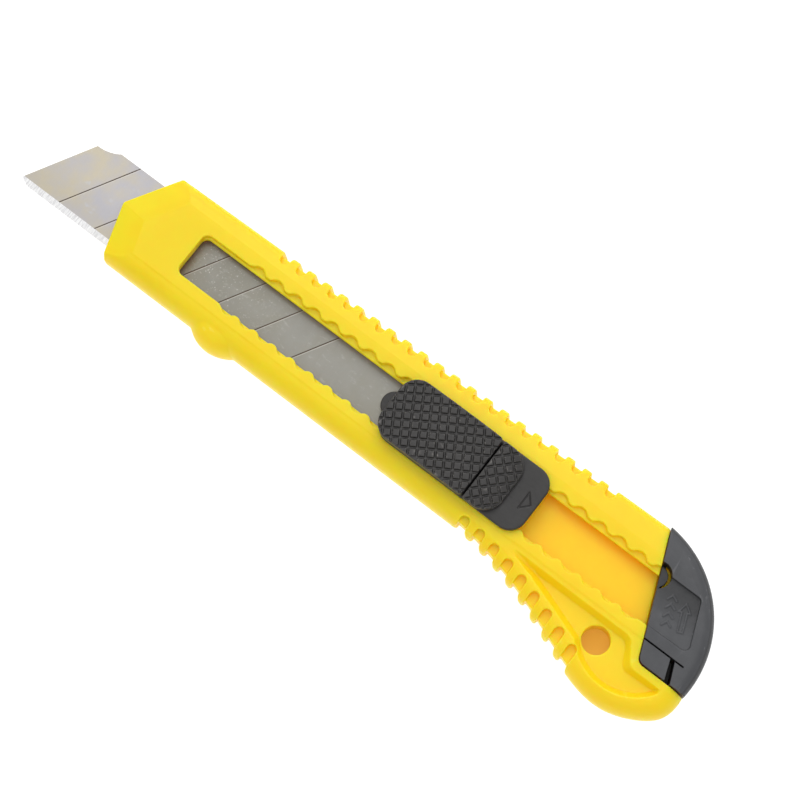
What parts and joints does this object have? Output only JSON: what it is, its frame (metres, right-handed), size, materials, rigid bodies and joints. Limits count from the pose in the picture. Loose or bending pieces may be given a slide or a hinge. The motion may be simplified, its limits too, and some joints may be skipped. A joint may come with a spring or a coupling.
{
  "type": "utility knife",
  "caption": "Snap-off blade utility knife: slotted one-piece handle with waved slot and flared tail, thumb slider with lock, scored steel blade and removable end cap.",
  "frame": {"origin": "on the flat back face of the handle, on the centre line of the slot, level with the rear end of the blade as stored", "axes": "+X along the handle to the blade tip, +Y across it to the cutting edge, +Z out of the cover through the thumb slider"},
  "size_m": [0.1799, 0.0385, 0.0131],
  "materials": {
    "handle_plastic": "semi-translucent moulded polystyrene, satin gloss",
    "blade_steel": "ground carbon steel, fine grain",
    "slider_plastic": "moulded black plastic, satin",
    "cap_plastic": "moulded black plastic, satin",
    "spring_steel": "bare spring steel strip"
  },
  "bodies": {
    "handle": {"handle_body": "handle_plastic"},
    "slider": {"thumb_slider": "slider_plastic", "blade_carrier": "slider_plastic", "detent_spring": "spring_steel", "blade": "blade_steel"},
    "lock": {"lock_slide": "slider_plastic"},
    "cap": {"end_cap": "cap_plastic"}
  },
  "joints": [
    {"name": "slider_slide", "type": "slide", "parent": "handle", "child": "slider", "axis": [1, 0, 0], "range_m": [-0.03, 0.05]},
    {"name": "lock_slide", "type": "slide", "parent": "slider", "child": "lock", "axis": [-1, 0, 0], "range_m": [0, 0.0043]},
    {"name": "cap_slide", "type": "slide", "parent": "handle", "child": "cap", "axis": [0.383, -0.9237, 0], "range_m": [0, 0.028]}
  ]
}
